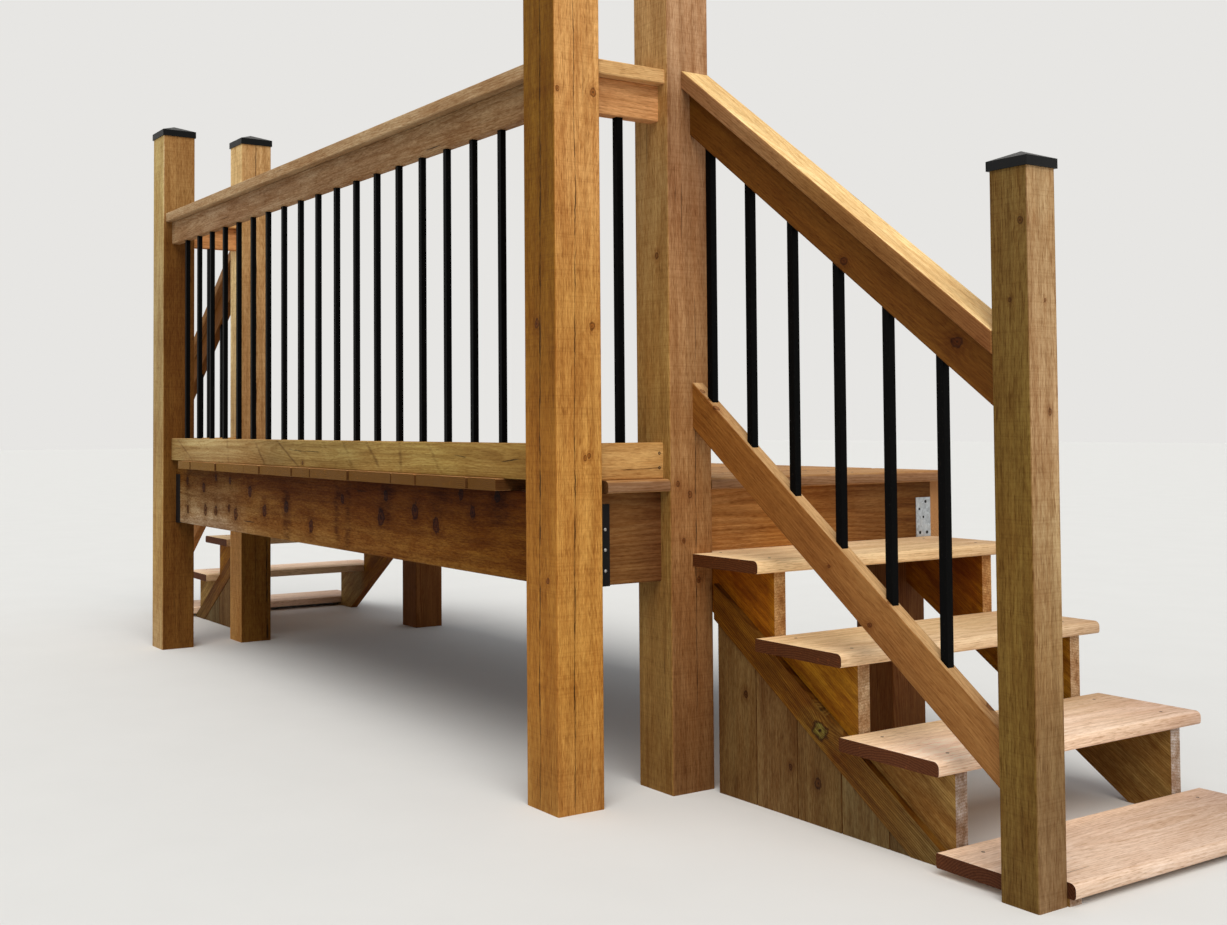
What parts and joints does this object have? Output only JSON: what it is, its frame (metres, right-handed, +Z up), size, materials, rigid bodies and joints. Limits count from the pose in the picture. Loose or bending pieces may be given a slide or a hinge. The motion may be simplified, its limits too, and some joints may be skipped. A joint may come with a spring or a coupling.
{
  "type": "wooden deck stairs",
  "caption": "Raised wooden landing deck with a straight stair at each end, tall square posts, a front railing with black balusters and a sloping handrail on each stair.",
  "frame": {"origin": "middle of the bounding box in plan, at the level on which the posts, newels, legs and stringers stand", "axes": "+X along the deck towards the right-hand stair as seen from the front, +Y from the front railing towards the house, +Z up"},
  "size_m": [5.29, 1.432, 2.2841],
  "materials": {
    "post_wood": "planed softwood posts, stained warm brown, with cracks",
    "rail_wood": "planed softwood, honey brown",
    "deck_wood": "planed softwood boards, pale tan",
    "frame_wood": "framing lumber, darker orange brown",
    "skirt_wood": "planed softwood, greyed brown",
    "black_metal": "satin black powder coat",
    "black_caps": "satin black powder coat",
    "black_hangers": "matt black coating",
    "galvanised_steel": "hot-dip galvanised"
  },
  "bodies": {
    "root": {"post_front_right": "post_wood", "post_front_left": "post_wood", "post_stair_right": "post_wood", "post_stair_left": "post_wood", "newel_right": "post_wood", "newel_left": "post_wood", "back_legs": "post_wood", "post_caps": "black_caps", "newel_caps": "black_caps", "front_beam": "frame_wood", "ledger": "frame_wood", "joists": "frame_wood", "rims_right": "frame_wood", "rims_left": "frame_wood", "beam_hangers": "black_hangers", "joist_hangers": "galvanised_steel", "tie_plates": "galvanised_steel", "deck_boards": "deck_wood", "deck_edge_right": "deck_wood", "deck_edge_left": "deck_wood", "front_cap_rail": "rail_wood", "front_top_rail": "rail_wood", "front_bottom_rail": "rail_wood", "front_balusters": "black_metal", "side_cap_rails": "rail_wood", "side_top_rails": "rail_wood", "side_bottom_rails": "rail_wood", "side_balusters": "black_metal", "handrail_right": "rail_wood", "handrail_left": "rail_wood", "stair_top_rail_right": "rail_wood", "stair_top_rail_left": "rail_wood", "stair_bottom_rail_right": "rail_wood", "stair_bottom_rail_left": "rail_wood", "stair_balusters_right": "black_metal", "stair_balusters_left": "black_metal", "treads_right": "deck_wood", "treads_left": "deck_wood", "stringers_right": "frame_wood", "stringers_left": "frame_wood", "stringer_cleats": "skirt_wood", "skirt_boards_right": "skirt_wood", "skirt_boards_left": "skirt_wood"}
  },
  "joints": []
}
